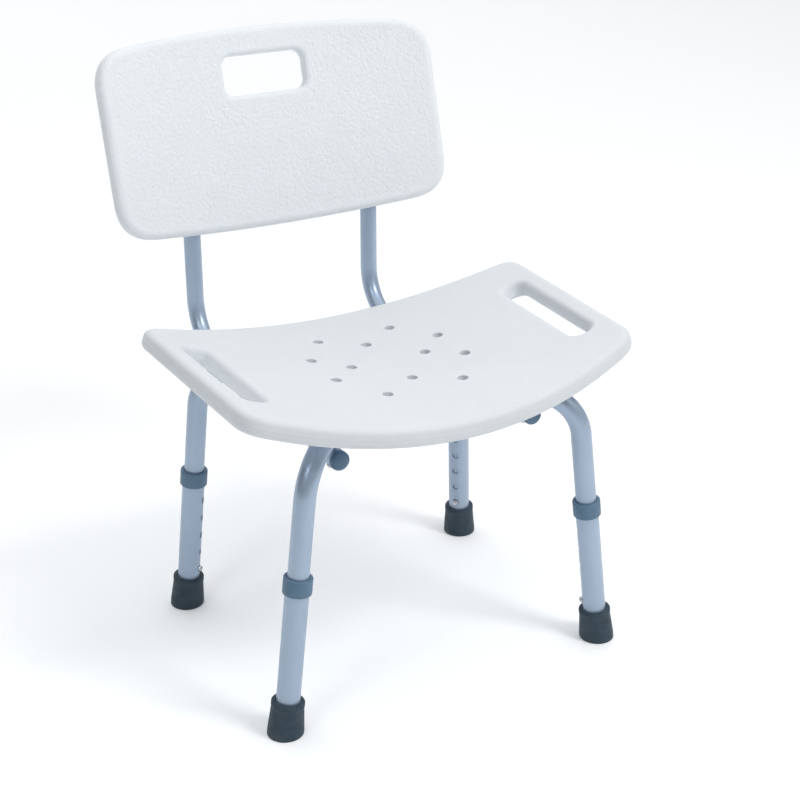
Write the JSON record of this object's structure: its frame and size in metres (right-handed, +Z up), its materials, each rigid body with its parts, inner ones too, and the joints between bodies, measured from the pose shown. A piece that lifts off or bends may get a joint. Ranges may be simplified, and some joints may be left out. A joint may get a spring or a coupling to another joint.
{
  "type": "shower chair",
  "caption": "Shower chair with a sagging moulded seat, a curved backrest with a hand hole, crossed aluminium leg tubes and telescopic legs with rubber feet.",
  "frame": {"origin": "on the floor, under the middle of the chair's bounding box", "axes": "+Z up; the seated person faces -Y; +X to the right of someone who looks at the chair's front"},
  "size_m": [0.5236, 0.5666, 0.702],
  "materials": {
    "seat_plastic": "moulded polyethylene, satin, faint grain",
    "backrest_plastic": "moulded polyethylene with a leather-like grain on the front",
    "anodised_tube": "blue-grey satin anodised",
    "grey_plastic": "slate grey moulded plastic",
    "rubber": "dark slate rubber",
    "steel": "zinc-plated and stainless steel"
  },
  "bodies": {
    "frame": {"seat_panel": "seat_plastic", "backrest_panel": "backrest_plastic", "cross_tube_upper": "anodised_tube", "cross_tube_lower": "anodised_tube", "back_tube_left": "anodised_tube", "back_tube_right": "anodised_tube", "front_plug_left": "grey_plastic", "front_plug_right": "grey_plastic", "top_plug_left": "grey_plastic", "top_plug_right": "grey_plastic", "centre_bolt": "steel", "centre_spacer": "grey_plastic", "centre_nut": "steel", "seat_bolt_front_left": "steel", "seat_insert_front_left": "steel", "button_spring_front_left": "steel", "seat_bolt_front_right": "steel", "seat_insert_front_right": "steel", "button_spring_front_right": "steel", "seat_bolt_rear_left": "steel", "seat_insert_rear_left": "steel", "button_spring_rear_left": "steel", "seat_bolt_rear_right": "steel", "seat_insert_rear_right": "steel", "button_spring_rear_right": "steel", "backrest_screw_left_lower": "steel", "backrest_screw_left_upper": "steel", "backrest_screw_right_lower": "steel", "backrest_screw_right_upper": "steel"},
    "leg_front_left": {"lower_leg_front_left": "anodised_tube", "leg_collar_front_left": "grey_plastic", "rubber_foot_front_left": "rubber", "foot_washer_front_left": "steel"},
    "button_front_left": {"leg_button_front_left": "steel"},
    "leg_front_right": {"lower_leg_front_right": "anodised_tube", "leg_collar_front_right": "grey_plastic", "rubber_foot_front_right": "rubber", "foot_washer_front_right": "steel"},
    "button_front_right": {"leg_button_front_right": "steel"},
    "leg_rear_left": {"lower_leg_rear_left": "anodised_tube", "leg_collar_rear_left": "grey_plastic", "rubber_foot_rear_left": "rubber", "foot_washer_rear_left": "steel"},
    "button_rear_left": {"leg_button_rear_left": "steel"},
    "leg_rear_right": {"lower_leg_rear_right": "anodised_tube", "leg_collar_rear_right": "grey_plastic", "rubber_foot_rear_right": "rubber", "foot_washer_rear_right": "steel"},
    "button_rear_right": {"leg_button_rear_right": "steel"}
  },
  "joints": [
    {"name": "leg_slide_front_left", "type": "slide", "parent": "frame", "child": "leg_front_left", "axis": [-0.1191, -0.0199, -0.9927], "range_m": [0, 0.1016], "deforming": ["leg_button_front_left"]},
    {"name": "button_press_front_left", "type": "slide", "parent": "frame", "child": "button_front_left", "axis": [-0.814, -0.5706, 0.1091], "range_m": [0, 0.0052], "stiffness_N_per_m": 800, "deforming": ["button_spring_front_left"]},
    {"name": "leg_slide_front_right", "type": "slide", "parent": "frame", "child": "leg_front_right", "axis": [0.1191, -0.0199, -0.9927], "range_m": [0, 0.1016], "deforming": ["leg_button_front_right"]},
    {"name": "button_press_front_right", "type": "slide", "parent": "frame", "child": "button_front_right", "axis": [0.814, -0.5706, 0.1091], "range_m": [0, 0.0052], "stiffness_N_per_m": 800, "deforming": ["button_spring_front_right"]},
    {"name": "leg_slide_rear_left", "type": "slide", "parent": "frame", "child": "leg_rear_left", "axis": [-0.0696, 0.0796, -0.9944], "range_m": [0, 0.1016], "deforming": ["leg_button_rear_left"]},
    {"name": "button_press_rear_left", "type": "slide", "parent": "frame", "child": "button_rear_left", "axis": [-0.7612, 0.6401, 0.1045], "range_m": [0, 0.0052], "stiffness_N_per_m": 800, "deforming": ["button_spring_rear_left"]},
    {"name": "leg_slide_rear_right", "type": "slide", "parent": "frame", "child": "leg_rear_right", "axis": [0.0696, 0.0796, -0.9944], "range_m": [0, 0.1016], "deforming": ["leg_button_rear_right"]},
    {"name": "button_press_rear_right", "type": "slide", "parent": "frame", "child": "button_rear_right", "axis": [0.7612, 0.6401, 0.1045], "range_m": [0, 0.0052], "stiffness_N_per_m": 800, "deforming": ["button_spring_rear_right"]}
  ]
}
